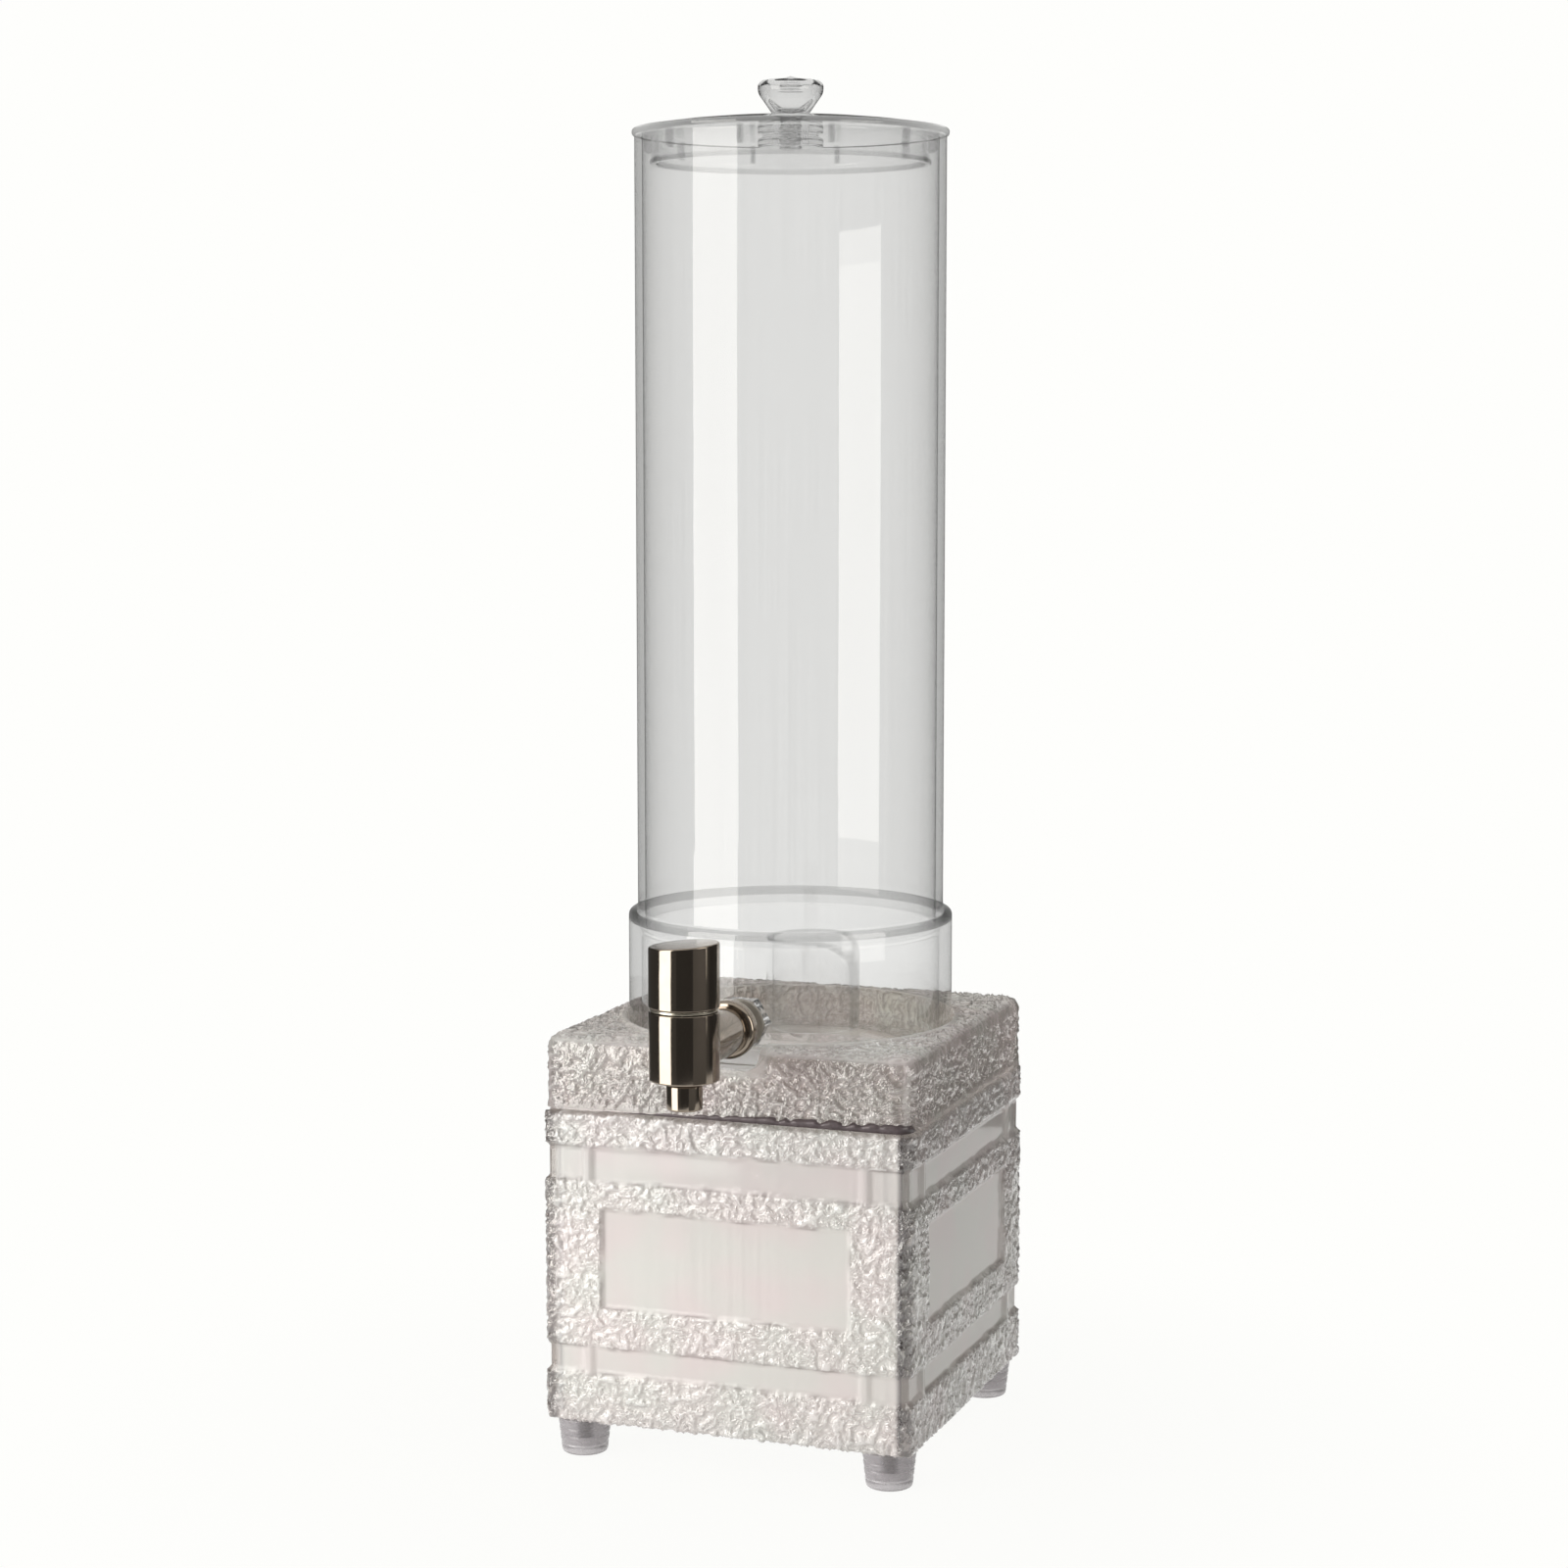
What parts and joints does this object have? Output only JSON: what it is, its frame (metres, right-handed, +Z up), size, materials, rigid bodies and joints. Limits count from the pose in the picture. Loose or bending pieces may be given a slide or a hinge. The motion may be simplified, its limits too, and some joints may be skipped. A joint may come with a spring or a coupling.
{
  "type": "drinks dispenser tower",
  "caption": "Clear tubular drinks tower with a domed lift-off lid, standing in a square ice-look base on tapered feet, with a turned metal tap at the front of its collar.",
  "frame": {"origin": "on the table, under the middle of the outline seen from above", "axes": "+Z up along the tube, -Y towards the tap at the front, +X to the right of someone facing the tap"},
  "size_m": [0.1866, 0.2506, 0.6623],
  "materials": {
    "clear_acrylic": "polished clear acrylic",
    "ice_acrylic": "clear acrylic with a moulded ice crinkle",
    "white_plastic": "matt white sheet",
    "smoke_plastic": "translucent grey moulding",
    "silicone": "translucent grey silicone",
    "dark_nickel": "polished dark nickel plate",
    "steel": "turned stainless steel"
  },
  "bodies": {
    "base": {"foot_front_left": "smoke_plastic", "foot_front_right": "smoke_plastic", "foot_rear_left": "smoke_plastic", "foot_rear_right": "smoke_plastic", "foot_screw_front_left": "steel", "foot_screw_front_right": "steel", "foot_screw_rear_left": "steel", "foot_screw_rear_right": "steel", "base_plate": "clear_acrylic", "base_housing": "ice_acrylic", "base_liner": "white_plastic", "base_cap": "ice_acrylic"},
    "tank": {"tank_collar": "clear_acrylic", "tube_seal": "silicone", "tank_tube": "clear_acrylic", "core_seat": "clear_acrylic", "tap_outer_washer": "silicone", "tap_inner_washer": "silicone", "tap_flange": "dark_nickel", "tap_nut": "clear_acrylic", "tap_shank": "dark_nickel", "tap_body": "dark_nickel", "tap_nozzle": "dark_nickel", "tap_seam_ring": "steel", "stem_o_ring": "silicone"},
    "lid": {"lid": "clear_acrylic", "lid_knob": "clear_acrylic", "lid_nut": "clear_acrylic"},
    "tap_handle": {"tap_cap": "dark_nickel", "cap_set_screw": "steel"},
    "valve": {"valve_plunger": "steel", "plunger_seal": "silicone"}
  },
  "joints": [
    {"name": "tank_lift", "type": "slide", "parent": "base", "child": "tank", "axis": [0, 0, 1], "range_m": [0, 0.1]},
    {"name": "lid_lift", "type": "slide", "parent": "tank", "child": "lid", "axis": [0, 0, 1], "range_m": [0, 0.1]},
    {"name": "tap_turn", "type": "hinge", "parent": "tank", "child": "tap_handle", "pos_m": [0, -0.109, 0.2489], "axis": [0, 0, 1], "range_deg": [0, 90]},
    {"name": "valve_lift", "type": "slide", "parent": "tank", "child": "valve", "axis": [0, 0, 1], "range_m": [0, 0.004]}
  ],
  "couplings": [
    {"joint": "valve_lift", "follows": "tap_turn", "m_per_rad": 0.002546}
  ]
}
